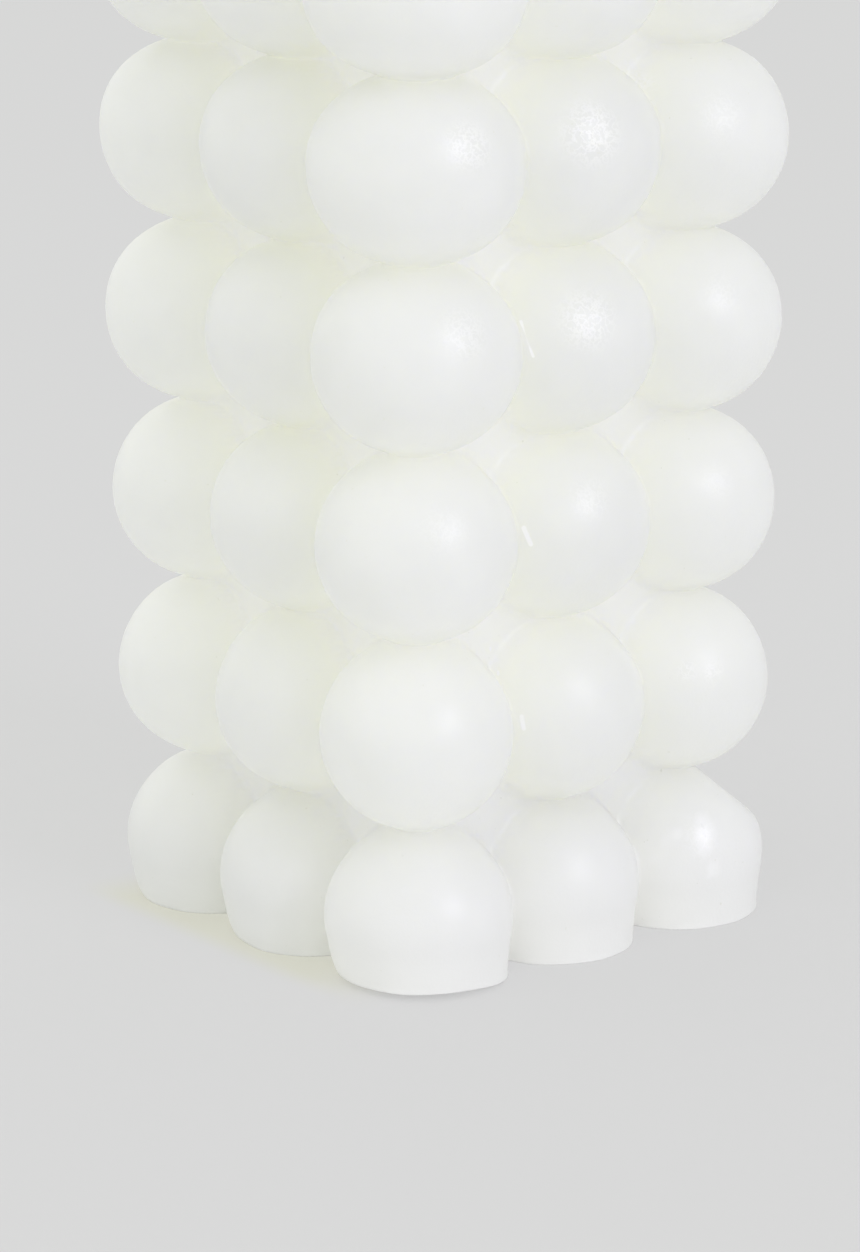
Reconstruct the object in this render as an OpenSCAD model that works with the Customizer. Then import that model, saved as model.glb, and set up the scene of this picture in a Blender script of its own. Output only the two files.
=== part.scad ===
// Square bubble candle: columns of wax balls, cast in one piece round a single wick.
// Millimetres. The candle stands on Z = 0 and its wick lies on the Z axis.
// The pale face towards +X and the shaded face towards -Y meet at the front corner.
// It is cast upside down in a soft mould, which sags under the wax, so from the second
// layer to the top the balls grow wider and a little flatter. The mould's straight mouth
// shapes the bottom layer, whose balls end in steep skirts on a flat foot.

/* [Columns and layers] */
// Distance between the centres of neighbouring columns
column_pitch = 22; // [20.5:0.5:24]
// Columns along each side
columns = 3; // [3:2:5]
// Layers of balls from the foot to the top
layers = 6; // [3:1:8]
// How far each layer sinks into the one below
layer_overlap = 0.37; // [0.2:0.01:1]

/* [Balls] */
// Height of the balls in the second layer, which are round
second_ball_h = 24.75; // [24.2:0.05:25.5]
// Height of the balls in the top layer
top_ball_h = 23.65; // [22.8:0.05:25]
// How far the widest ring of a top ball is spread out from its column
top_spread = 2.1; // [0.5:0.1:2.4]

/* [Foot] */
// Thickness of the bottom layer's balls, which are round above their centres
foot_ball_d = 24.2; // [23.6:0.1:25]
// Height of the bottom layer's ball centres above the base
foot_centre_h = 7.6; // [5:0.1:10]
// Width of the flat foot under each bottom ball
foot_w = 22.8; // [22.2:0.1:23.2]
// How much narrower than its ball the skirt starts at the height of the centre
skirt_set_in = 0.1; // [0.05:0.01:0.3]
// Depth of the flattened shoulder on the bottom ball of the knocked corner
shoulder_dent = 1.5; // [0.4:0.1:2.5]

/* [Core] */
// How far the floors of the pits between the balls stand outside the ball centres
pit_floor = 1; // [0.6:0.1:1.4]

/* [Wick] */
// Thickness of the braided wick, and of the bore that the wax casts round it
wick_d = 2.4; // [1.5:0.1:4]
// Height that the wick stands above the wax
wick_above = 12; // [5:0.5:25]

/* [Hidden] */

// Which way the knocked corner's shoulder faces: turn about Z, and lean from upright
dent_turn = 69;
dent_lean = 40;
// The outermost columns stand this far from the wick, and the top layer has this index
reach = column_pitch * (columns - 1) / 2;
top = layers - 1;
// Half-width of the core, which closes the spaces between the balls
core_half = reach + pit_floor;
// Larger than the whole candle, for the half-space cuts
beyond = 2 * reach + 4 * foot_ball_d;

wax_color = [0.93, 0.93, 0.90];
wick_color = [0.90, 0.88, 0.80];

// How far up a layer is, from 0 at the second layer to 1 at the top
function rise(layer) = (layer - 1) / (top - 1);

// Height, spread and centre of the balls in a layer, counted from 0 at the foot
function ball_h(layer) =
    layer == 0 ? foot_ball_d : second_ball_h + (top_ball_h - second_ball_h) * rise(layer);
function spread(layer) = top_spread * rise(layer);
function centre_z(layer) =
    layer == 0 ? foot_centre_h
    : centre_z(layer - 1) + (ball_h(layer - 1) + ball_h(layer)) / 2 - layer_overlap;

// The wax's highest point: the crown of the top layer
crown_z = centre_z(top) + ball_h(top) / 2;

// A ball whose side arc is set out from its axis, so that it is wider than it is high
module spread_ball(h, out) {
    rotate_extrude($fn = 64)
    union() {
        intersection() {
            translate([out, 0]) circle(d = h, $fn = 64);
            translate([0, -h]) square([2 * h, 2 * h]);
        }
        translate([0, -h / 2]) square([out, h]);
    }
}

// A bottom ball: round above its centre, with a steep skirt that runs down to the foot
module foot_ball() {
    rotate_extrude($fn = 64)
    union() {
        intersection() {
            translate([0, foot_centre_h]) circle(d = foot_ball_d, $fn = 64);
            square([foot_ball_d, foot_centre_h + foot_ball_d]);
        }
        polygon([
            [0, 0],
            [foot_w / 2, 0],
            [foot_ball_d / 2 - skirt_set_in, foot_centre_h],
            [0, foot_centre_h]
        ]);
    }
}

// The bottom ball of the knocked corner: its outer shoulder is pressed flat
module dented_ball() {
    difference() {
        foot_ball();
        translate([0, 0, foot_centre_h])
        rotate([0, dent_lean, dent_turn])
        translate([-beyond / 2, -beyond / 2, foot_ball_d / 2 - shoulder_dent])
        cube(beyond);
    }
}

// One upright column of balls
module column(dented) {
    if (dented) dented_ball();
    else foot_ball();
    translate([0, 0, centre_z(1)]) sphere(d = second_ball_h, $fn = 64);
    for (layer = [2:1:top])
        translate([0, 0, centre_z(layer)]) spread_ball(ball_h(layer), spread(layer));
}

// The block of wax behind the balls: its faces are the floors of the pits between them
module core() {
    translate([-core_half, -core_half, 0])
    cube([2 * core_half, 2 * core_half, centre_z(top) + pit_floor]);
}

// The inner columns show only where they stand out of the top
module inner_crowns() {
    for (i = [1:columns - 2], j = [1:columns - 2])
        translate([i * column_pitch - reach, j * column_pitch - reach, centre_z(top)])
        spread_ball(ball_h(top), spread(top));
}

module wax_body() {
    color(wax_color)
    difference() {
        union() {
            for (i = [0:columns - 1], j = [0:columns - 1])
                if (i == 0 || j == 0 || i == columns - 1 || j == columns - 1)
                    translate([i * column_pitch - reach, j * column_pitch - reach, 0])
                    column(i == columns - 1 && j == columns - 1);
            inner_crowns();
            core();
        }
        translate([0, 0, -1]) cylinder(d = wick_d, h = crown_z + 2, $fn = 48);
    }
}

// The wick runs from the base to above the crown and fills its bore
module wick() {
    color(wick_color) cylinder(d = wick_d, h = crown_z + wick_above, $fn = 48);
}

wax_body();
wick();
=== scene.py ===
# A square bubble candle of pale cast wax with a braided cotton wick, on a plain pale floor

from math import asin, cos, pi, radians, sin

import bpy
import numpy as np
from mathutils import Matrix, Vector


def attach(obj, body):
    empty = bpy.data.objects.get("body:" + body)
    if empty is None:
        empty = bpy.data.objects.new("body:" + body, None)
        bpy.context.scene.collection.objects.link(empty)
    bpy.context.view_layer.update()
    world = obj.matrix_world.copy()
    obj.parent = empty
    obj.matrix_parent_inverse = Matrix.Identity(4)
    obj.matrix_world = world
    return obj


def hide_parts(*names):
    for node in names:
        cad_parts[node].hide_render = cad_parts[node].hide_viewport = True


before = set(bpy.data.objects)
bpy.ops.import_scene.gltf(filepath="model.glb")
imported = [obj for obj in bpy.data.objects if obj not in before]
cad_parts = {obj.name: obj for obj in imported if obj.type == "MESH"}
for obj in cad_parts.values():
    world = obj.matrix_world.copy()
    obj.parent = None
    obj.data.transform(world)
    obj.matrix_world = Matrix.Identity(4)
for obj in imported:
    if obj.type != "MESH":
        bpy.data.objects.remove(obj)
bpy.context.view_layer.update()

MM = 0.001

# The candle's sizes in millimetres, as its solids have them
COLUMN_PITCH = 22.0
COLUMNS = 3
LAYERS = 6
LAYER_OVERLAP = 0.37
SECOND_BALL_H = 24.75
TOP_BALL_H = 23.65
TOP_SPREAD = 2.1
FOOT_BALL_D = 24.2
FOOT_CENTRE_H = 7.6
FOOT_W = 22.8
SKIRT_SET_IN = 0.1
SHOULDER_DENT = 1.5
DENT_TURN = radians(69)
DENT_LEAN = radians(40)
PIT_FLOOR = 1.0
WICK_D = 2.4
WICK_ABOVE = 12.0

REACH = COLUMN_PITCH * (COLUMNS - 1) / 2
AXES = np.arange(COLUMNS) * COLUMN_PITCH - REACH
RISE = np.maximum((np.arange(LAYERS) - 1) / (LAYERS - 2), 0)
SPREAD = TOP_SPREAD * RISE
BALL_H = SECOND_BALL_H + (TOP_BALL_H - SECOND_BALL_H) * RISE
BALL_H[0] = FOOT_BALL_D
STEP_UP = (BALL_H[:-1] + BALL_H[1:]) / 2 - LAYER_OVERLAP
CENTRE_Z = FOOT_CENTRE_H + np.concatenate([[0.0], np.cumsum(STEP_UP)])
CROWN_Z = CENTRE_Z[-1] + BALL_H[-1] / 2

# The camera's place, measured from the photograph: turn, height angle, distance and aim
VIEW_AZIMUTH = radians(51.078)
VIEW_ELEVATION = radians(14.725)
VIEW_DISTANCE = 536.14
VIEW_SHIFT = -1.53
VIEW_HEIGHT = 37.52
LENS = 115.98
SENSOR = 36.0

BACK = np.array([
    sin(VIEW_AZIMUTH) * cos(VIEW_ELEVATION),
    -cos(VIEW_AZIMUTH) * cos(VIEW_ELEVATION),
    sin(VIEW_ELEVATION),
])
RIGHT = np.array([cos(VIEW_AZIMUTH), sin(VIEW_AZIMUTH), 0.0])
UP = np.array([0.0, 0.0, 1.0])


def set_camera():
    """Looks at the front corner from a little above; the aim is a point beside the wick's axis."""
    aim = RIGHT * VIEW_SHIFT + UP * VIEW_HEIGHT
    data = bpy.data.cameras.new("camera")
    data.sensor_width = SENSOR
    data.lens = LENS
    data.clip_start = 0.01
    data.clip_end = 50
    camera = bpy.data.objects.new("camera", data)
    camera.location = Vector((aim + BACK * VIEW_DISTANCE) * MM)
    camera.rotation_mode = "QUATERNION"
    camera.rotation_quaternion = Vector(-BACK).to_track_quat("-Z", "Y")
    bpy.context.scene.collection.objects.link(camera)
    bpy.context.scene.camera = camera


set_camera()


# Grids of point numbers and their faces


def ring_quads(numbers):
    """Quads between neighbouring rows of a grid of point numbers whose last column meets its first."""
    ahead = np.roll(numbers, -1, axis=1)
    quads = np.stack([numbers[:-1], ahead[:-1], ahead[1:], numbers[1:]], axis=-1)
    return quads.reshape(-1, 4)


def sheet_quads(numbers, keep=None):
    """Quads of an open grid of point numbers; keep is a mask of the cells that are wanted."""
    quads = np.stack(
        [numbers[:-1, :-1], numbers[:-1, 1:], numbers[1:, 1:], numbers[1:, :-1]], axis=-1
    )
    return quads.reshape(-1, 4) if keep is None else quads[keep]


def without_doubles(quads):
    """Whole quads as they are, and a triangle for each quad in which two neighbouring corners are one."""
    double = quads == np.roll(quads, -1, axis=1)
    count = double.sum(axis=1)
    bent = quads[count == 1]
    triangles = bent[~double[count == 1]].reshape(-1, 3)
    return quads[count == 0], triangles


def capped_tube(rings):
    """A tube of rings, rings[row, place round it], closed at each end by a point amid the end ring."""
    rows, around = rings.shape[:2]
    points = np.concatenate(
        [rings.reshape(-1, 3), rings[:1].mean(axis=1), rings[-1:].mean(axis=1)]
    )
    numbers = np.arange(rows * around).reshape(rows, around)
    low_end = np.full((1, around), rows * around)
    return points, ring_quads(np.concatenate([low_end, numbers, low_end + 1]))


def make_piece(name, points, quads, slot, material):
    """Turns points in millimetres and quads into a smooth piece that rides on the candle."""
    whole, triangles = without_doubles(quads)
    mesh = bpy.data.meshes.new(name)
    mesh.from_pydata((points * MM).tolist(), [], whole.tolist() + triangles.tolist())
    mesh.polygons.foreach_set("use_smooth", np.ones(len(mesh.polygons), bool))
    mesh.update()
    mesh.materials.append(material)
    piece = bpy.data.objects.new(name, mesh)
    bpy.context.scene.collection.objects.link(piece)
    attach(piece, "root")
    return piece


# The wax body

# How far the crease between two balls is rounded, and how far the skin lies inside the solids' skin
CREASE_ROUND = 0.35
SKIN_INSET = 0.1
# A thin lip of wax runs round each foot, as wide as this, and dies away over this height
LIP = 0.22
LIP_HEIGHT = 0.45
# Towards the photograph's left the feet are rounded under, by this much and up to this height
FOOT_UNDERCUT = 1.3
UNDERCUT_HEIGHT = 6.0
# The sole rises towards the front corner, where the mould stood a little out of level
SOLE_RISE = 0.9
# Slow unevenness of the casting, and the length of its waves
WOBBLE = 0.05
WAVE_LENGTH = 13.0
WAVES = 12
WAVE_SEED = 11
# A collar of wax creeps this far up the wick and dies away over this width
COLLAR = 0.35
COLLAR_WIDTH = 0.6
# The wick sits in a shallow cup, this much narrower than the wick all round and this deep
CUP_SET_IN = 0.15
CUP_DEPTH = 0.25
# Distances deeper inside a ball than this count the same, so that no exponential overflows
DEEPEST = -6.0
# Heights of the rows of points over the lip, and of the first row above it
LIP_ROWS = [0.0, 0.15, 0.35, 0.65, 1.05]
SKIRT_FROM = 1.6
# Rings of points on the base between the square round the outer axes and the feet's outline, rings
# from the hole in the top's and base's grids to the edge of the cup, and rings down the cup's side
SOLE_RINGS = [0.4, 0.8]
CUP_RINGS = [0.3, 0.55, 0.75, 0.9, 1.0]
CUP_SIDE_RINGS = [0.48, 1.0]

# Columns by the place that they have in the photograph: along X, then along Y
FRONT = (2, 0)
LEFT_MIDDLE = (1, 0)
LEFT = (0, 0)
RIGHT_MIDDLE = (2, 1)
FAR_RIGHT = (2, 2)

# Balls that the soft mould let stray: column, layer, move to the photograph's right and up
STRAYS = [
    (FRONT, 0, 0.4, 0.0),
    (LEFT, 0, 0.45, 0.0),
    (FRONT, 4, 0.0, -0.5),
    (FRONT, 5, 0.0, -1.6),
    (LEFT, 5, 0.0, -0.7),
    (LEFT_MIDDLE, 5, 0.0, -0.9),
    (RIGHT_MIDDLE, 5, 0.0, -0.4),
    (FAR_RIGHT, 5, 0.0, 0.3),
]
# How far into its neighbour a ball's own move is felt
STRAY_SOFTNESS = 7.0

DENT_NORMAL = np.array([
    sin(DENT_LEAN) * cos(DENT_TURN),
    sin(DENT_LEAN) * sin(DENT_TURN),
    cos(DENT_LEAN),
])


def smooth_step(t):
    """Rises from 0 to 1 along 3t^2 - 2t^3."""
    t = np.clip(t, 0, 1)
    return t * t * (3 - 2 * t)


def raggedness(turn, i, j):
    """Share of its full width that a foot's lip has at an angle round the foot: a steady part and the
    product of a slow and a fast sine wave, which start elsewhere on each foot."""
    return 0.6 + 0.4 * np.sin(3 * turn + 2.1 * i + j) * np.sin(7 * turn + i + 3.3 * j)


def ball_distance(p, i, j, layer):
    """Distance to one ball. Above the foot it is a ball whose round side is set out from its axis;
    a bottom ball is round above its centre and a cone with a thin lip below it."""
    x = p[..., 0] - AXES[i]
    y = p[..., 1] - AXES[j]
    z = p[..., 2] - CENTRE_Z[layer]
    ring = np.hypot(x, y)
    if layer:
        return np.hypot(np.maximum(ring - SPREAD[layer], 0), z) - BALL_H[layer] / 2
    slope = (BALL_H[0] / 2 - SKIRT_SET_IN - FOOT_W / 2) / FOOT_CENTRE_H
    lip = LIP * raggedness(np.arctan2(y, x), i, j) * np.exp(-p[..., 2] / LIP_HEIGHT)
    skirt = FOOT_W / 2 + slope * p[..., 2] + lip
    leftwards = -(x * RIGHT[0] + y * RIGHT[1]) / np.maximum(ring, 1e-9)
    below = np.clip(1 - p[..., 2] / UNDERCUT_HEIGHT, 0, 1)
    tucked = np.maximum(leftwards, 0) ** 2 * (1 - np.sqrt(1 - below ** 2))
    skirt = skirt - FOOT_UNDERCUT * tucked
    ball = np.hypot(ring, z) - BALL_H[0] / 2
    ball = np.where(z < 0, np.minimum(ball, ring - skirt), ball)
    if (i, j) != FAR_RIGHT:
        return ball
    over = x * DENT_NORMAL[0] + y * DENT_NORMAL[1] + z * DENT_NORMAL[2]
    over = over - (BALL_H[0] / 2 - SHOULDER_DENT)
    return np.logaddexp(ball / CREASE_ROUND, over / CREASE_ROUND) * CREASE_ROUND


def wax_distance(p):
    """Smooth minimum, minus the logarithm of a sum of exponentials, of the distances to the balls
    and to the core behind them."""
    core = np.maximum(np.abs(p[..., 0]), np.abs(p[..., 1])) - REACH - PIT_FLOOR
    core = np.maximum(core, p[..., 2] - CENTRE_Z[-1] - PIT_FLOOR)
    total = np.exp(-core / CREASE_ROUND)
    for i in range(COLUMNS):
        for j in range(COLUMNS):
            outer = {i, j} & {0, COLUMNS - 1}
            for layer in range(LAYERS) if outer else [LAYERS - 1]:
                away = np.maximum(ball_distance(p, i, j, layer), DEEPEST)
                total += np.exp(-away / CREASE_ROUND)
    return -CREASE_ROUND * np.log(total) + SKIN_INSET


def reach_surface(origins, directions, longest=18.0, halvings=22):
    """Sends a ray from each origin inside the wax and halves its length until it ends on the skin."""
    near = np.zeros(origins.shape[:-1])
    far = np.full(origins.shape[:-1], longest)
    for _ in range(halvings):
        middle = (near + far) / 2
        inside = wax_distance(origins + directions * middle[..., None]) < 0
        near = np.where(inside, middle, near)
        far = np.where(inside, far, middle)
    return origins + directions * ((near + far) / 2)[..., None]


def side_marks(half_steps):
    """Places along one side from corner axis to corner axis, sine-spaced from each ball's middle to
    its crease, so that they lie closer where the ball curves away."""
    crease = COLUMN_PITCH / 2
    turn = asin(crease / (SECOND_BALL_H / 2))
    out = crease * np.sin(np.linspace(0, turn, half_steps + 1)) / sin(turn)
    one = np.concatenate([out, (COLUMN_PITCH - out[::-1])[1:]])
    parts = [one[:-1] + axis for axis in AXES[:-1]]
    return np.concatenate(parts + [[REACH]])


def ray_rim(marks, corner_steps):
    """The square round the outer axes, as a closed line of points, and the way out at each: straight
    out along the sides, and a quarter fan at each corner."""
    fan = np.linspace(0, pi / 2, corner_steps + 1)[1:-1]
    place = np.stack([
        np.concatenate([marks, np.full(len(fan), REACH)]),
        np.full(len(marks) + len(fan), -REACH),
    ], axis=-1)
    out = np.stack([
        np.concatenate([np.zeros(len(marks)), np.sin(fan)]),
        np.concatenate([np.full(len(marks), -1.0), -np.cos(fan)]),
    ], axis=-1)
    quarter = np.array([[0, 1], [-1, 0]])
    turns = [np.linalg.matrix_power(quarter, k) for k in range(4)]
    return (
        np.concatenate([place @ t for t in turns]),
        np.concatenate([out @ t for t in turns]),
    )


def layer_heights(quarter_steps, skirt_rows=9):
    """Heights of the side's rows from the base to the top centres, sine-spaced towards each neck and
    closer over the lip."""
    turn = np.linspace(0, pi / 2, quarter_steps + 1)
    rows = [np.array(LIP_ROWS), np.linspace(SKIRT_FROM, FOOT_CENTRE_H, skirt_rows)]
    for low, high, ball_h in zip(CENTRE_Z[:-1], CENTRE_Z[1:], BALL_H[:-1]):
        neck = low + ball_h / 2 - LAYER_OVERLAP / 2
        rows.append((low + (neck - low) * np.sin(turn))[1:])
        rows.append((high - (high - neck) * np.sin(turn[::-1]))[1:])
    return np.concatenate(rows)


def grid_sides(numbers):
    """The four edges of a square grid of point numbers, end to end and counter-clockwise from above."""
    return [numbers[:, 0], numbers[-1, :], numbers[::-1, -1], numbers[0, ::-1]]


def strayed(p):
    """Moves each point with the balls that it is near: the moves are mixed by weights that fall off as
    a bell curve of the distance to each ball's centre and add up to 1 with the balls that keep still."""
    weight_sum = np.zeros(len(p))
    move = np.zeros_like(p)
    moves = {(column, layer): RIGHT * across + UP * up for column, layer, across, up in STRAYS}
    for i in range(COLUMNS):
        for j in range(COLUMNS):
            for layer in range(LAYERS):
                centre = np.array([AXES[i], AXES[j], CENTRE_Z[layer]])
                weight = np.exp(-((p - centre) ** 2).sum(axis=1) / (2 * STRAY_SOFTNESS ** 2))
                weight_sum += weight
                move += weight[:, None] * moves.get(((i, j), layer), np.zeros(3))
    return move / np.maximum(weight_sum, 1e-12)[:, None]


def wobble(p):
    """Slow unevenness: sine waves of one length in mixed directions, each moving the wax its own
    way."""
    rng = np.random.default_rng(WAVE_SEED)
    heading = rng.normal(size=(WAVES, 3))
    heading /= np.linalg.norm(heading, axis=1, keepdims=True)
    swing = rng.normal(size=(WAVES, 3)) * WOBBLE / 2
    phase = rng.uniform(0, 2 * pi, WAVES)
    return np.sin(p @ heading.T * 2 * pi / WAVE_LENGTH + phase) @ swing


def as_cast(p):
    """The ideal skin with the casting's own faults: strayed balls, unevenness and a sole that rises
    towards the front corner. Their upward part dies away at the sole, which stays flat."""
    upright = smooth_step(p[:, 2] / FOOT_CENTRE_H)
    fault = strayed(p) + wobble(p)
    fault[:, 2] *= upright
    p = p + fault
    corner = (p[:, 0] - p[:, 1]) / np.sqrt(2) - REACH * np.sqrt(2)
    rise = SOLE_RISE * smooth_step(corner / (FOOT_W / 2))
    p[:, 2] += rise * np.clip(1 - p[:, 2] / (2 * FOOT_CENTRE_H), 0, 1)
    return p


# What the wax material reads at each point of the skin
SKIN_LOOKS = ["set_back", "crinkled", "polished_glint"]


def set_back(p):
    """How deep a place lies in the creases, by which the wax is painted lighter there: 0 on the outermost
    skin of the balls and 1 at their centres, from the distance to the box that the centres of the outer
    balls span."""
    out = np.maximum(np.abs(p[:, :2]) - REACH, 0)
    over = np.maximum(p[:, 2] - CENTRE_Z[-1], 0)
    return np.clip(1 - np.hypot(np.linalg.norm(out, axis=1), over) / (SECOND_BALL_H / 2), 0, 1)


# The photograph's frame in pixels
FRAME_WIDTH = 860
FRAME_HEIGHT = 1252

# Places in it where the skin pulled off the mould crinkled and glossy, their folds drawn with painted
# highlight lines; strength and half-width of each
CRINKLES = [
    ((470, 140), 1.0, 4.2),
    ((592, 132), 1.3, 5.4),
    ((588, 318), 1.1, 5.2),
    ((466, 332), 0.6, 4.6),
    ((722, 114), 0.4, 4.5),
    ((445, 528), 0.3, 4.5),
    ((590, 497), 0.5, 4.0),
    ((700, 838), 0.6, 4.0),
    ((722, 292), 0.35, 3.8),
    ((716, 482), 0.25, 3.8),
    ((688, 670), 0.9, 1.7),
    ((713, 672), 0.9, 1.7),
    ((627, 68), 1.0, 1.9),
    ((637, 80), 1.2, 2.1),
    ((647, 83), 1.0, 1.9),
]

# Places in it where the knocked ball is glossier and carries a painted glint, with strength and
# half-width
POLISHED_GLINTS = [
    ((702, 822), 0.7, 1.7),
    ((703, 836), 0.9, 1.7),
    ((704, 850), 0.6, 1.5),
    ((713, 870), 0.8, 1.3),
    ((675, 834), 0.7, 1.1),
    ((667, 845), 0.35, 1.3),
    ((657, 857), 0.3, 1.3),
]

# The two ends in it of each streak of flash that the mould's seam left, drawn as a painted highlight, and
# its half-width
STREAKS = [
    ((521, 321), (533, 356), 0.27),
    ((524, 528), (531, 544), 0.42),
    ((491, 648), (499, 674), 0.26),
    ((522, 716), (524, 728), 0.38),
]


def seen_place(pixel, clear=80.0, moves=60):
    """Where the line of sight through a pixel meets the wax: from a place clear of the candle it moves
    on along its line by its distance to the wax, over and over."""
    camera = RIGHT * VIEW_SHIFT + UP * VIEW_HEIGHT + BACK * VIEW_DISTANCE
    focal = LENS / SENSOR * FRAME_HEIGHT
    across = (pixel[0] - FRAME_WIDTH / 2) / focal
    above = (FRAME_HEIGHT / 2 - pixel[1]) / focal
    sight = RIGHT * across + np.cross(BACK, RIGHT) * above - BACK
    sight /= np.linalg.norm(sight)
    place = camera + sight * (VIEW_DISTANCE - clear)
    for _ in range(moves):
        place = place + sight * wax_distance(place)
    return place


def marked(p, marks, steepness=1.25):
    """How strongly marks cover the skin: the sum of round humps with a level top, which fall to nothing
    at their half-widths."""
    total = np.zeros(len(p))
    for pixel, strength, width in marks:
        gap = np.linalg.norm(p - seen_place(pixel), axis=1)
        total += strength * smooth_step(steepness * (1 - gap / width))
    return total


def wax_skin(half_steps=15, corner_steps=22, quarter_steps=17, cup_cells=4):
    """The whole skin of the wax as one closed surface. Rays go straight out from the square round the
    outer axes, row by row, and are then tipped up over the top edge. A square grid of upright rays
    covers the top, a flat one the base, and a shallow cup in the middle of each takes the wick. Hands
    back the points, the quads and what the material reads at each point."""
    marks = side_marks(half_steps)
    place, out = ray_rim(marks, corner_steps)
    around = len(place)

    heights = layer_heights(quarter_steps)
    tip = np.linspace(0, pi / 2, quarter_steps + 1)[1:-1]
    z = np.concatenate([heights, np.full(len(tip), CENTRE_Z[-1])])
    lean = np.concatenate([np.zeros(len(heights)), tip])
    rows = len(z)
    origins = np.empty((rows, around, 3))
    origins[..., :2] = place
    origins[..., 2] = z[:, None]
    directions = np.empty((rows, around, 3))
    directions[..., :2] = out * np.cos(lean)[:, None, None]
    directions[..., 2] = np.sin(lean)[:, None]
    side = reach_surface(origins, directions)

    n = len(marks)
    base = np.zeros((n, n, 3))
    base[..., 0], base[..., 1] = np.meshgrid(marks, marks, indexing="ij")
    top = reach_surface(base + UP * CENTRE_Z[-1], np.broadcast_to(UP, base.shape))
    rim_points = np.concatenate([place, np.zeros((around, 1))], axis=1)
    share = np.array(SOLE_RINGS)[:, None, None]
    sole = rim_points + (side[0] - rim_points) * share

    middle = slice(n // 2 - cup_cells, n // 2 + cup_cells + 1)
    square = np.concatenate([edge[:-1] for edge in grid_sides(base[middle, middle])])
    circle = square / np.linalg.norm(square, axis=1, keepdims=True) * (WICK_D / 2 - CUP_SET_IN)
    share = np.array(CUP_RINGS)[:, None, None]
    base_rings = square + (circle - square) * share
    top_rings = reach_surface(base_rings + UP * CENTRE_Z[-1], np.broadcast_to(UP, base_rings.shape))
    from_wick = np.linalg.norm(base_rings[..., :2], axis=-1) - WICK_D / 2
    top_rings[..., 2] += COLLAR * np.exp(-np.maximum(from_wick, 0) / COLLAR_WIDTH)
    depth = UP * CUP_DEPTH * np.array(CUP_SIDE_RINGS)[:, None, None]
    top_cup = top_rings[-1] - depth
    base_cup = (base_rings[-1] + depth)[::-1]
    top_heart = top_cup[-1:].mean(axis=1, keepdims=True)
    base_heart = base_cup[:1].mean(axis=1, keepdims=True)

    top_chain = [top_rings, top_cup, top_heart]
    base_chain = [base_heart, base_cup, base_rings[::-1]]
    parts = [side, sole, top, base] + top_chain + base_chain
    ends = np.cumsum([part.size // 3 for part in parts])
    numbered = [
        np.arange(end - part.size // 3, end).reshape(part.shape[:2])
        for part, end in zip(parts, ends)
    ]
    side_n, sole_n, top_n, base_n = numbered[:4]
    round_n = [np.broadcast_to(part, (len(part), len(circle))) for part in numbered[4:]]

    def rim_of(numbers):
        fans = [np.concatenate([e, np.repeat(e[-1:], corner_steps - 1)]) for e in grid_sides(numbers)]
        return np.concatenate(fans)[None]

    def square_of(numbers):
        return np.concatenate([e[:-1] for e in grid_sides(numbers[middle, middle])])[None]

    wanted = np.ones((n - 1, n - 1), bool)
    cut = slice(n // 2 - cup_cells, n // 2 + cup_cells)
    wanted[cut, cut] = False
    quads = np.concatenate([
        ring_quads(np.concatenate([rim_of(base_n), sole_n, side_n, rim_of(top_n)])),
        sheet_quads(top_n.T, wanted),
        sheet_quads(base_n, wanted),
        ring_quads(np.concatenate([square_of(top_n)] + round_n[:3])),
        ring_quads(np.concatenate(round_n[3:] + [square_of(base_n)])),
    ])
    used, quads = np.unique(quads, return_inverse=True)
    ideal = np.concatenate([part.reshape(-1, 3) for part in parts])[used]
    looks = [set_back(ideal), marked(ideal, CRINKLES), marked(ideal, POLISHED_GLINTS)]
    return as_cast(ideal), quads.reshape(-1, 4), dict(zip(SKIN_LOOKS, looks))


# The braided wick

# Strands that wind each way, the height of one turn of a strand, how far it stands out, and how much
# a strand that crosses over rises above the one that passes under
STRANDS = 4
STRAND_TURN = 7.0
STRAND_DEPTH = 0.13
STRAND_CROSSING = 0.35
# The braid starts at this height, and the cut end above it is a dome of this height
BRAID_FROM = CROWN_Z - 1.5
WICK_DOME = 0.35
# Rings of the dome: share of the wick's thickness, and height above the braid
DOME_RINGS = [(0.93, 0.08), (0.78, 0.18), (0.5, 0.28), (0.2, 0.34)]
# How far the free end leans over
WICK_LEAN = np.array([0.55, -0.35, 0.0])


def wick_surface(around=72, shown_rows=150, hidden_rows=11):
    """A tube whose radius is the greater of two crossing sets of raised strands, cosines of the angle
    plus and minus the height. Above the wax the wick leans over along a parabola; its cut end is a
    low dome, and below the crown it is a plain round cord."""
    shown = np.linspace(BRAID_FROM, CROWN_Z + WICK_ABOVE - WICK_DOME, shown_rows)
    hidden = np.linspace(0.0, BRAID_FROM, hidden_rows + 1)[:-1]
    z = np.concatenate([hidden, shown])
    turn = np.linspace(0, 2 * pi, around, endpoint=False)
    height, angle = np.meshgrid(z, turn, indexing="ij")
    climb = 2 * pi * height / STRAND_TURN
    right_hand = np.cos(STRANDS * (angle - climb))
    left_hand = np.cos(STRANDS * (angle + climb))
    over = STRAND_CROSSING * np.sin(STRANDS * angle) * np.sin(STRANDS * climb)
    raised = np.maximum(right_hand + over, left_hand - over)
    radius = WICK_D / 2 - STRAND_DEPTH * 1.5 + STRAND_DEPTH * raised
    radius = np.where(height < BRAID_FROM, WICK_D / 2 - STRAND_DEPTH, radius)
    rings = np.stack([radius * np.cos(angle), radius * np.sin(angle), height], axis=-1)
    dome = []
    for share, lift in DOME_RINGS:
        cap = rings[-1] * [share, share, 1]
        dome.append(cap + UP * lift)
    rings = np.concatenate([rings, np.array(dome)])
    above = np.clip((rings[..., 2:] - CROWN_Z) / WICK_ABOVE, 0, 1)
    return capped_tube(rings + WICK_LEAN * above ** 2)


# Shader maths


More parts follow.
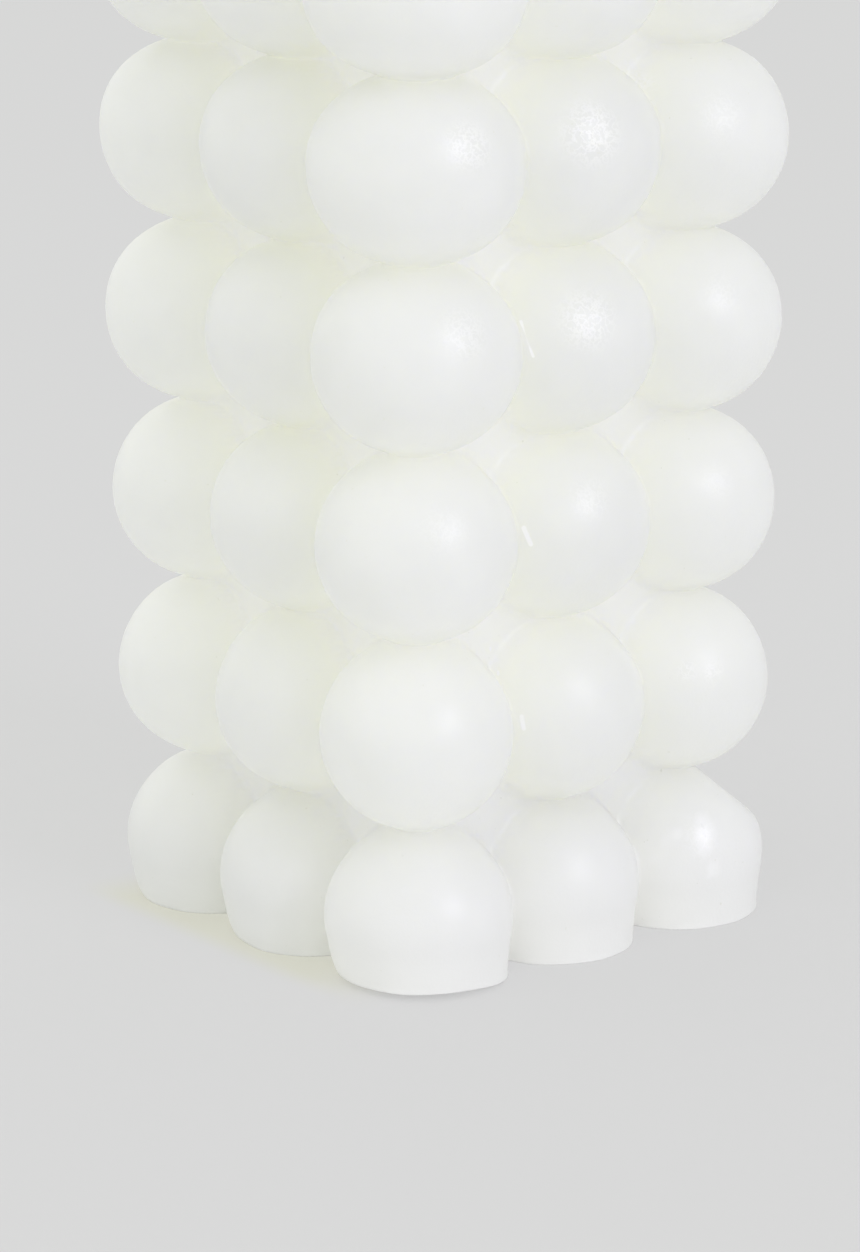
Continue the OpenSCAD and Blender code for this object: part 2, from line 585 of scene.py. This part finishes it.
class Signal:
    """A node's output that can stand in arithmetic; each operation adds a Math node."""

    def __init__(self, finish, socket):
        self.finish = finish
        self.socket = socket

    def math(self, operation, *values):
        return self.finish.node("ShaderNodeMath", {"operation": operation}, dict(enumerate(values)))

    def __add__(self, other):
        return self.math("ADD", self, other)

    def __sub__(self, other):
        return self.math("SUBTRACT", self, other)

    def __rsub__(self, other):
        return self.math("SUBTRACT", other, self)

    def __mul__(self, other):
        return self.math("MULTIPLY", self, other)

    def __truediv__(self, other):
        return self.math("DIVIDE", self, other)

    def __abs__(self):
        return self.math("ABSOLUTE", self)

    __radd__ = __add__
    __rmul__ = __mul__

    def between(self, low, high):
        """0 below low, 1 above high, and a smooth rise from one to the other."""
        values = {"Value": self, "From Min": low, "From Max": high}
        settings = {"interpolation_type": "SMOOTHSTEP"}
        return self.finish.node("ShaderNodeMapRange", settings, values)


class Finish:
    """The node tree of a material or of the surround, filled node by node."""

    def __init__(self, owner):
        owner.use_nodes = True
        self.owner = owner
        self.tree = owner.node_tree
        self.tree.nodes.clear()

    def node(self, kind, settings=None, values=None, output=0):
        """Adds a node: first its settings, then the numbers or links of its sockets."""
        node = self.tree.nodes.new(kind)
        for name, setting in (settings or {}).items():
            setattr(node, name, setting)
        for name, value in (values or {}).items():
            socket = node.inputs[name]
            if isinstance(value, Signal):
                self.tree.links.new(value.socket, socket)
            else:
                socket.default_value = value
        return Signal(self, node.outputs[output] if node.outputs else None)

    def mix(self, factor, low, high):
        """One colour turned into another."""
        values = {"Factor": factor, 6: low, 7: high}
        return self.node("ShaderNodeMix", {"data_type": "RGBA"}, values, 2)

    def noise(self, place, length, detail=2.0, roughness=0.5):
        """Noise whose grain has the given length in millimetres."""
        values = {
            "Vector": place, "Scale": 1 / (length * MM), "Detail": detail, "Roughness": roughness,
        }
        return self.node("ShaderNodeTexNoise", None, values)

    def vector(self, operation, *values, output=0):
        """A Vector Math node."""
        settings = {"operation": operation}
        return self.node("ShaderNodeVectorMath", settings, dict(enumerate(values)), output)

    def line_distance(self, place, start, end):
        """Distance in millimetres from the place being shaded to the straight line between two points:
        the place's share of the way along is kept within 0 and 1, and measured from there."""
        span = (end - start) * MM
        gap = self.vector("SUBTRACT", place, tuple(start * MM))
        share = self.vector("DOT_PRODUCT", gap, tuple(span), output=1) / float(span @ span)
        share = share.math("MAXIMUM", share.math("MINIMUM", share, 1.0), 0.0)
        foot = self.node("ShaderNodeVectorMath", {"operation": "SCALE"}, {0: tuple(span), "Scale": share})
        return self.vector("DISTANCE", gap, foot, output=1) / MM

    def close(self, shader, output="ShaderNodeOutputMaterial"):
        """Ends the tree in its output node and hands back what the tree belongs to."""
        self.node(output, None, {"Surface": shader})
        return self.owner


# The finishes

# Tints of the wax: its clouds on the outermost skin; painted light deep in the creases, lighter and
# yellower where light through the wax glows, and low on the feet against the floor's shade; a speck;
# and the painted highlight where a fold, a streak of flash or a polished place shines
CLOUD_TINTS = [(0.738, 0.744, 0.731, 1), (0.753, 0.759, 0.747, 1)]
CREASE_PAINTED_GLOW = (0.994, 1.0, 0.92, 1)
FOOT_PAINTED_LIGHT = (1.0, 0.995, 0.98, 1)
SPECK_TINT = (0.7, 0.71, 0.62, 1)
PAINTED_HIGHLIGHT_TINT = (1.0, 1.0, 1.0, 1)
# Grain of the clouds and of the fine unevenness
CLOUD_LENGTH = 9.0
FLECK_LENGTH = 0.9
# Noise levels between which one cloud tint turns into the other and a speck comes up, and how far
# from its middle the fine noise still makes a fold in the crinkled places
CLOUD_RANGE = (0.35, 0.65)
SPECK_RANGE = (0.74, 0.77)
FOLD_RANGE = (0.0, 0.1)
# Share of a streak's half-width over which its painted highlight is at full strength
STREAK_CORE = 0.4
# How strongly a speck shows in the tint, and the painted highlight on a streak, a fold and a polished
# place
SPECK_SHARE = 0.4
STREAK_HIGHLIGHT_SHARE = 0.8
FOLD_HIGHLIGHT_SHARE = 0.3
GLINT_HIGHLIGHT_SHARE = 0.6
# Share of the painted light on the feet at the left, against the floor's shade, how much more there is
# on the others, between which places along X it grows, and between which heights it ends
FOOT_SHARE = 0.14
FOOT_SHARE_MORE = 0.26
FOOT_ALONG = (5.0, 14.0)
FOOT_ENDS = (9.0, 20.0)
# Roughness, what the clouds and the fine noise add to it, and what crinkles and polish take off it
WAX_ROUGHNESS = 0.28
CLOUD_ROUGHER = 0.1
FLECK_ROUGHER = 0.12
CRINKLED_SMOOTHER = 0.07
POLISHED_SMOOTHER = 0.1
# Heights of the bumps
FLECK_HEIGHT = 0.025
FOLD_HEIGHT = 0.014
WAX_IOR = 1.5
# How far light travels in the wax between two turns, and how that differs between red, green and blue
SCATTER_LENGTH = 35.0
SCATTER_SPLIT = (1.0, 1.0, 0.85)
# Between these heights the dense wax near the floor gives way to the milky wax
DENSE_ENDS = (2.0, 22.0)

# The cotton's fibres: tints, width, how the noise is drawn out along them, its levels, and their bump
FIBRE_TINTS = [(0.78, 0.75, 0.65, 1), (0.90, 0.88, 0.80, 1)]
FIBRE_WIDTH = 0.12
FIBRE_STRETCH = (1.0, 1.0, 0.2)
FIBRE_RANGE = (0.3, 0.7)
FIBRE_HEIGHT = 0.05
# The thin coat of wax on it: tint, length of its patches, and how strongly they show
WAXED_TINT = (0.88, 0.86, 0.77, 1)
PATCH_LENGTH = 1.8
PATCH_SHARE = 0.5
COTTON_ROUGHNESS = 0.62
PATCH_ROUGHER = 0.2


def wax_finish():
    """Milky cast wax: cloudy tint, uneven gloss, tiny specks, streaks of flash and a few crinkled or
    polished places, with painted highlights on the streaks, folds and polished places, and painted light
    in the creases and low on the feet. Near the floor a dense wax takes over, which loses no light
    through its sole."""
    wax = Finish(bpy.data.materials.new("cast_wax"))
    place = wax.node("ShaderNodeTexCoord", None, None, 3)
    cloud = wax.noise(place, CLOUD_LENGTH, 1.0)
    fleck = wax.noise(place, FLECK_LENGTH, 2.0, 0.6)
    deep, crinkled, polished_glint = [
        wax.node("ShaderNodeAttribute", {"attribute_name": name}, None, 2) for name in SKIN_LOOKS
    ]
    # Folds in the crinkled places: small bumps, and lines of painted highlight
    folds = (1 - abs(fleck - 0.5).between(*FOLD_RANGE)) * crinkled

    # Streaks of flash, each drawn as a line of painted highlight
    streak = 0.0
    for start, end, half in STREAKS:
        start, end = as_cast(np.array([seen_place(start), seen_place(end)]))
        gap = wax.line_distance(place, start, end)
        ridge = 1 - gap.between(half * STREAK_CORE, half)
        streak = ridge.math("MAXIMUM", ridge, streak)

    outer = wax.mix(cloud.between(*CLOUD_RANGE), *CLOUD_TINTS)
    height_up = wax.node("ShaderNodeSeparateXYZ", None, {0: place}, 2) / MM
    along = wax.node("ShaderNodeSeparateXYZ", None, {0: place}, 0) / MM
    # How much painted light, against the floor's shade, lies low on the feet
    share = along.between(*FOOT_ALONG) * FOOT_SHARE_MORE + FOOT_SHARE
    foot = (1 - height_up.between(*FOOT_ENDS)) * share
    speck = fleck.between(*SPECK_RANGE)
    # Painted highlights on the folds, the polished places and the streaks of flash
    painted_glints = folds * FOLD_HIGHLIGHT_SHARE + polished_glint * GLINT_HIGHLIGHT_SHARE
    painted_highlight = streak.math("MAXIMUM", streak * STREAK_HIGHLIGHT_SHARE, painted_glints)
    # Painted light: the creases lighter and yellower where light through the wax glows, the feet lighter
    # against the floor's shade
    tint = wax.mix(deep, outer, CREASE_PAINTED_GLOW)
    tint = wax.mix(foot, tint, FOOT_PAINTED_LIGHT)
    tint = wax.mix(speck * SPECK_SHARE, tint, SPECK_TINT)
    tint = wax.mix(painted_highlight, tint, PAINTED_HIGHLIGHT_TINT)
    roughness = WAX_ROUGHNESS + cloud * CLOUD_ROUGHER + fleck * FLECK_ROUGHER
    roughness = roughness - crinkled * CRINKLED_SMOOTHER - polished_glint * POLISHED_SMOOTHER
    height = fleck * FLECK_HEIGHT + folds * FOLD_HEIGHT
    bump = wax.node("ShaderNodeBump", None, {"Strength": 1.0, "Distance": MM, "Height": height})
    skin = {"Base Color": tint, "Roughness": roughness, "Normal": bump, "IOR": WAX_IOR}
    scatter = {
        "Subsurface Weight": 1.0,
        "Subsurface Radius": SCATTER_SPLIT,
        "Subsurface Scale": SCATTER_LENGTH * MM,
    }
    walk = {"subsurface_method": "RANDOM_WALK"}
    milky = wax.node("ShaderNodeBsdfPrincipled", walk, {**skin, **scatter})
    dense = wax.node("ShaderNodeBsdfPrincipled", None, skin)
    near_floor = 1 - height_up.between(*DENSE_ENDS)
    return wax.close(
        wax.node("ShaderNodeMixShader", None, {0: near_floor, 1: milky, 2: dense})
    )


def cotton_finish():
    """Pale braided cotton under a thin coat of wax, with fine fibres along it."""
    cotton = Finish(bpy.data.materials.new("braided_cotton"))
    place = cotton.node("ShaderNodeTexCoord", None, None, 3)
    drawn_out = cotton.vector("MULTIPLY", place, FIBRE_STRETCH)
    fibre = cotton.noise(drawn_out, FIBRE_WIDTH, 2.0, 0.6)
    patch = cotton.noise(place, PATCH_LENGTH)
    tint = cotton.mix(fibre.between(*FIBRE_RANGE), *FIBRE_TINTS)
    tint = cotton.mix(patch * PATCH_SHARE, tint, WAXED_TINT)
    bump = cotton.node(
        "ShaderNodeBump", None, {"Strength": 1.0, "Distance": MM, "Height": fibre * FIBRE_HEIGHT}
    )
    shader = cotton.node("ShaderNodeBsdfPrincipled", None, {
        "Base Color": tint,
        "Roughness": COTTON_ROUGHNESS + patch * PATCH_ROUGHER,
        "Normal": bump,
    })
    return cotton.close(shader)


# The studio

# The surround is brighter towards the photograph's left than towards its right
SURROUND_LEVEL = 0.86
SURROUND_SIDE = -RIGHT
SURROUND_LEAN = 0.25
SURROUND_TINT = (0.99, 1.0, 0.97, 1)
# The main lamp: where it stands, distance and size in metres, power in watts
KEY_DIRECTION = np.array([0.883, 0.083, 0.456])
KEY_DIRECTION /= np.linalg.norm(KEY_DIRECTION)
LAMP_DISTANCE = 2.5
KEY_SIZE = 0.85
KEY_POWER = 14.5
KEY_TINT = (0.86, 0.84, 1.0)
# The floor: half its width in metres, its own paint, and the even tone that the camera sees
FLOOR_HALF = 6.0
FLOOR_PAINT = (0.95, 0.95, 0.95, 1)
FLOOR_TONE = (0.629, 0.629, 0.629, 1)
FLOOR_EVEN = 0.75
# The painted shadow's olive tone before the left face, and where it starts and ends, ahead of the wick
# and to its side
PAINTED_SHADOW_TONE = (0.629, 0.629, 0.525, 1)
PAINTED_SHADOW_START = (20.0, 30.0)
PAINTED_SHADOW_END = (33.0, 38.0)
PAINTED_SHADOW_LEFT = (-36.0, -24.0)
PAINTED_SHADOW_RIGHT = (12.0, 30.0)


def floor_finish():
    """A pale floor. To the camera three quarters of it is an even tone, with a painted olive shadow
    before the left face; the rest takes the shadow.
    """
    floor = Finish(bpy.data.materials.new("pale_floor"))
    rays = floor.node("ShaderNodeLightPath")
    named = rays.socket.node.outputs
    ray = Signal(floor, named["Is Camera Ray"])
    for other in ["Is Glossy Ray", "Is Transmission Ray"]:
        ray = ray.math("MAXIMUM", ray, Signal(floor, named[other]))
    place = floor.node("ShaderNodeTexCoord", None, None, 3)
    ahead = floor.node("ShaderNodeSeparateXYZ", None, {0: place}, 1) / -MM
    aside = floor.node("ShaderNodeSeparateXYZ", None, {0: place}, 0) / MM
    # A painted olive shadow in the even tone, before the left face
    painted_shadow = ahead.between(*PAINTED_SHADOW_START) * (1 - ahead.between(*PAINTED_SHADOW_END))
    painted_shadow = painted_shadow * aside.between(*PAINTED_SHADOW_LEFT) * (1 - aside.between(*PAINTED_SHADOW_RIGHT))
    matt = floor.node("ShaderNodeBsdfDiffuse", None, {"Color": FLOOR_PAINT})
    even = floor.node(
        "ShaderNodeEmission", None, {"Color": floor.mix(painted_shadow, FLOOR_TONE, PAINTED_SHADOW_TONE)}
    )
    return floor.close(
        floor.node("ShaderNodeMixShader", None, {0: ray * FLOOR_EVEN, 1: matt, 2: even})
    )


def soft_lamp(name, direction, size, power, tint):
    """A square lamp that faces the candle's foot from the given direction."""
    data = bpy.data.lights.new(name, "AREA")
    data.shape = "SQUARE"
    data.size = size
    data.energy = power
    data.color = tint
    lamp = bpy.data.objects.new(name, data)
    lamp.location = Vector(direction) * LAMP_DISTANCE
    lamp.rotation_mode = "QUATERNION"
    lamp.rotation_quaternion = Vector(direction).to_track_quat("Z", "Y")
    bpy.context.scene.collection.objects.link(lamp)


def set_studio():
    """A wide floor, a white surround and one soft lamp off to the right."""
    mesh = bpy.data.meshes.new("floor")
    corners = np.array([(-1, -1, 0), (1, -1, 0), (1, 1, 0), (-1, 1, 0)]) * FLOOR_HALF
    mesh.from_pydata(corners.tolist(), [], [(0, 1, 2, 3)])
    mesh.materials.append(floor_finish())
    floor = bpy.data.objects.new("floor", mesh)
    bpy.context.scene.collection.objects.link(floor)

    surround = Finish(bpy.data.worlds.new("studio"))
    way = surround.node("ShaderNodeTexCoord", None, None, 0)
    side = surround.vector("DOT_PRODUCT", way, tuple(SURROUND_SIDE), output=1)
    light = {"Color": SURROUND_TINT, "Strength": (1 + side * SURROUND_LEAN) * SURROUND_LEVEL}
    glow = surround.node("ShaderNodeBackground", None, light)
    bpy.context.scene.world = surround.close(glow, "ShaderNodeOutputWorld")

    soft_lamp("key", KEY_DIRECTION, KEY_SIZE, KEY_POWER, KEY_TINT)


wax_material = wax_finish()
skin_points, skin_quads, skin_looks = wax_skin()
body = make_piece("wax_skin", skin_points, skin_quads, "wax", wax_material)
for name, values in skin_looks.items():
    body.data.attributes.new(name, "FLOAT", "POINT").data.foreach_set("value", values)
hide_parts("wax_body")
wick = make_piece("braided_wick", *wick_surface(), "cotton", cotton_finish())
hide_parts("wick")

set_studio()

view = bpy.context.scene.view_settings
view.view_transform = "Standard"
